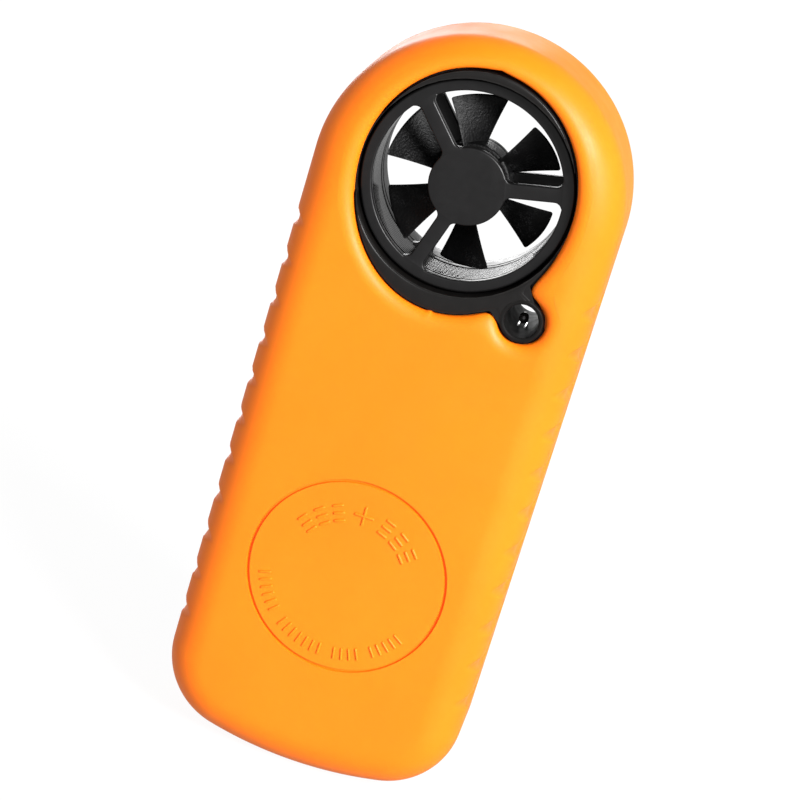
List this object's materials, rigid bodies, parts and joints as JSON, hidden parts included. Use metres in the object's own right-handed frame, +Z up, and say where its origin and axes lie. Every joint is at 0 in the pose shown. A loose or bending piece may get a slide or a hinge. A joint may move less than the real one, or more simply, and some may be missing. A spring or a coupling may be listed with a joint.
{
  "type": "handheld weather meter",
  "caption": "Pocket wind and weather meter: bladed impeller between spoked guards in a black two-shell body, in an orange soft sleeve with side grips, display and keys.",
  "frame": {"origin": "middle of the footprint, at the lowest point of the rounded base", "axes": "+Z up towards the impeller head, -Y out of the display side, +Y out of the orange back"},
  "size_m": [0.0398, 0.018, 0.1004],
  "materials": {
    "orange_silicone": "satin moulded silicone",
    "black_shell": "fine satin moulded ABS",
    "black_guard": "fine satin moulded ABS",
    "black_gloss": "polished moulding",
    "rotor_black": "smooth moulded plastic",
    "steel": "bright plated",
    "magnet": "dull sintered magnet",
    "jewel": "polished synthetic ruby",
    "clear_window": "clear acrylic",
    "lcd_glass": "polished display glass",
    "white_plastic": "diffusing plastic",
    "grey_rubber": "soft rubber",
    "key_black": "satin moulded plastic",
    "green_board": "solder mask",
    "thermistor": "glass-coated bead"
  },
  "bodies": {
    "body": {"sleeve": "orange_silicone", "rear_shell": "black_shell", "front_shell": "black_shell", "rear_guard": "black_guard", "front_guard": "black_guard", "duct_ring": "black_gloss", "rear_jewel": "jewel", "front_jewel": "jewel", "display_window": "clear_window", "lcd_glass": "lcd_glass", "lcd_frame": "black_shell", "backlight_diffuser": "white_plastic", "zebra_strip_top": "grey_rubber", "zebra_strip_bottom": "grey_rubber", "mode_switch_body": "steel", "set_switch_body": "steel", "circuit_board": "green_board", "chip_cover": "black_gloss", "timing_crystal": "steel", "hall_sensor": "black_shell", "battery_holder": "black_shell", "coin_cell": "steel", "negative_contact": "steel", "positive_contact": "steel", "thermistor_bead": "thermistor", "thermistor_lead_a": "steel", "thermistor_lead_b": "steel", "shell_screw_1": "steel", "shell_screw_2": "steel", "shell_screw_3": "steel", "shell_screw_4": "steel"},
    "rotor": {"impeller": "rotor_black", "impeller_shaft": "steel", "rotor_magnet": "magnet"},
    "mode_key": {"mode_button": "key_black", "mode_switch_plunger": "key_black"},
    "set_key": {"set_button": "key_black", "set_switch_plunger": "key_black"},
    "cell_door": {"battery_door": "black_shell", "door_seal": "grey_rubber"}
  },
  "joints": [
    {"name": "impeller_spin", "type": "hinge", "parent": "body", "child": "rotor", "pos_m": [0, 0.002, 0.0819], "axis": [0, 1, 0], "continuous": true},
    {"name": "mode_press", "type": "slide", "parent": "body", "child": "mode_key", "axis": [0, 1, 0], "range_m": [0, 0.0005], "stiffness_N_per_m": 1500},
    {"name": "set_press", "type": "slide", "parent": "body", "child": "set_key", "axis": [0, 1, 0], "range_m": [0, 0.0005], "stiffness_N_per_m": 1500},
    {"name": "door_twist", "type": "hinge", "parent": "body", "child": "cell_door", "pos_m": [0, 0.0055, 0.0288], "axis": [0, 1, 0], "range_deg": [0, 30]}
  ]
}
